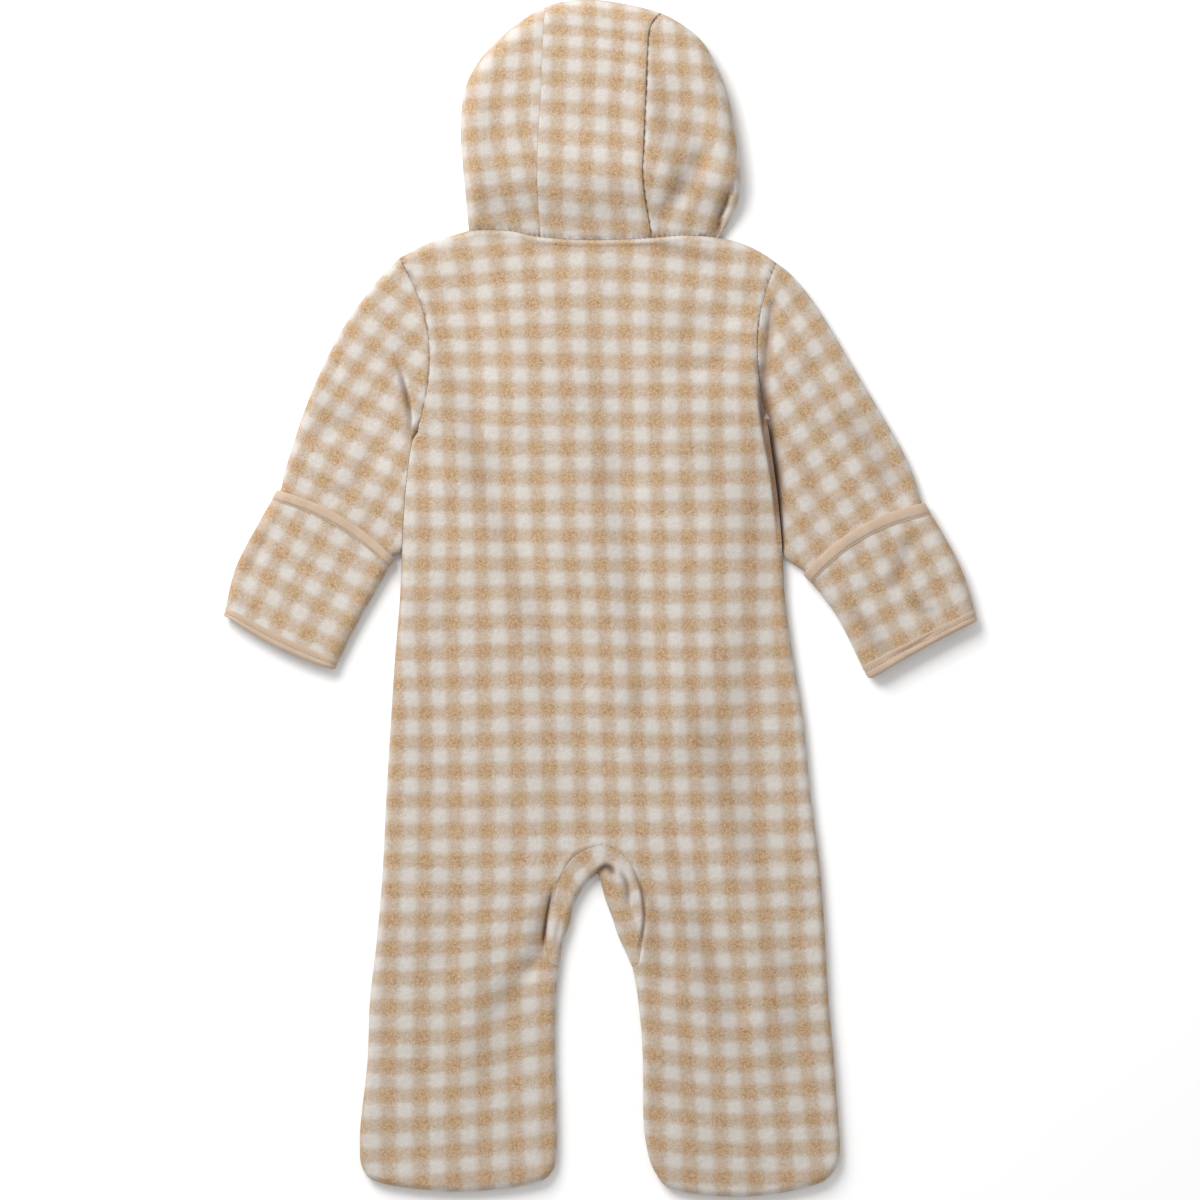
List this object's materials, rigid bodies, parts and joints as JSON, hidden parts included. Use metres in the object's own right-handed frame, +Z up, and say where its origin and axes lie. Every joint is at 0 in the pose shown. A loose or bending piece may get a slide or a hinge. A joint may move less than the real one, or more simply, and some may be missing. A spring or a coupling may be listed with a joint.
{
  "type": "baby bunting suit",
  "caption": "Hooded one-piece baby suit in checked fleece with closed feet and fold-over mittens, lying flat on its front, with a front zip and a hinged pull tab.",
  "frame": {"origin": "middle of the suit's footprint, on the surface that it lies on", "axes": "+Z up through the back of the suit, which lies on its front; +Y towards the hood; -X towards the wearer's left sleeve"},
  "size_m": [0.4997, 0.7895, 0.021],
  "materials": {
    "fleece": "brushed fleece in a soft beige and cream gingham check",
    "binding": "plain tan knit binding, matt",
    "zip_tape": "woven tape, matt",
    "zip_teeth": "satin nylon coil",
    "zip_metal": "satin painted zinc"
  },
  "bodies": {
    "suit": {"back": "fleece", "front_left": "fleece", "front_right": "fleece", "crotch_gusset": "fleece", "hood_left": "fleece", "hood_centre": "fleece", "hood_right": "fleece", "sleeve_left": "fleece", "sleeve_right": "fleece", "mitt_flap_left": "fleece", "mitt_flap_right": "fleece", "flap_binding_left": "binding", "flap_binding_right": "binding", "cuff_binding_left": "binding", "cuff_binding_right": "binding", "zip_tape_left": "zip_tape", "zip_tape_right": "zip_tape", "zip_chain": "zip_teeth", "zip_slider": "zip_metal"},
    "pull_tab": {"zip_pull": "zip_metal"}
  },
  "joints": [
    {"name": "pull_tab_hinge", "type": "hinge", "parent": "suit", "child": "pull_tab", "pos_m": [0, 0.2065, 0.00075], "axis": [1, 0, 0], "range_deg": [0, 170]}
  ]
}
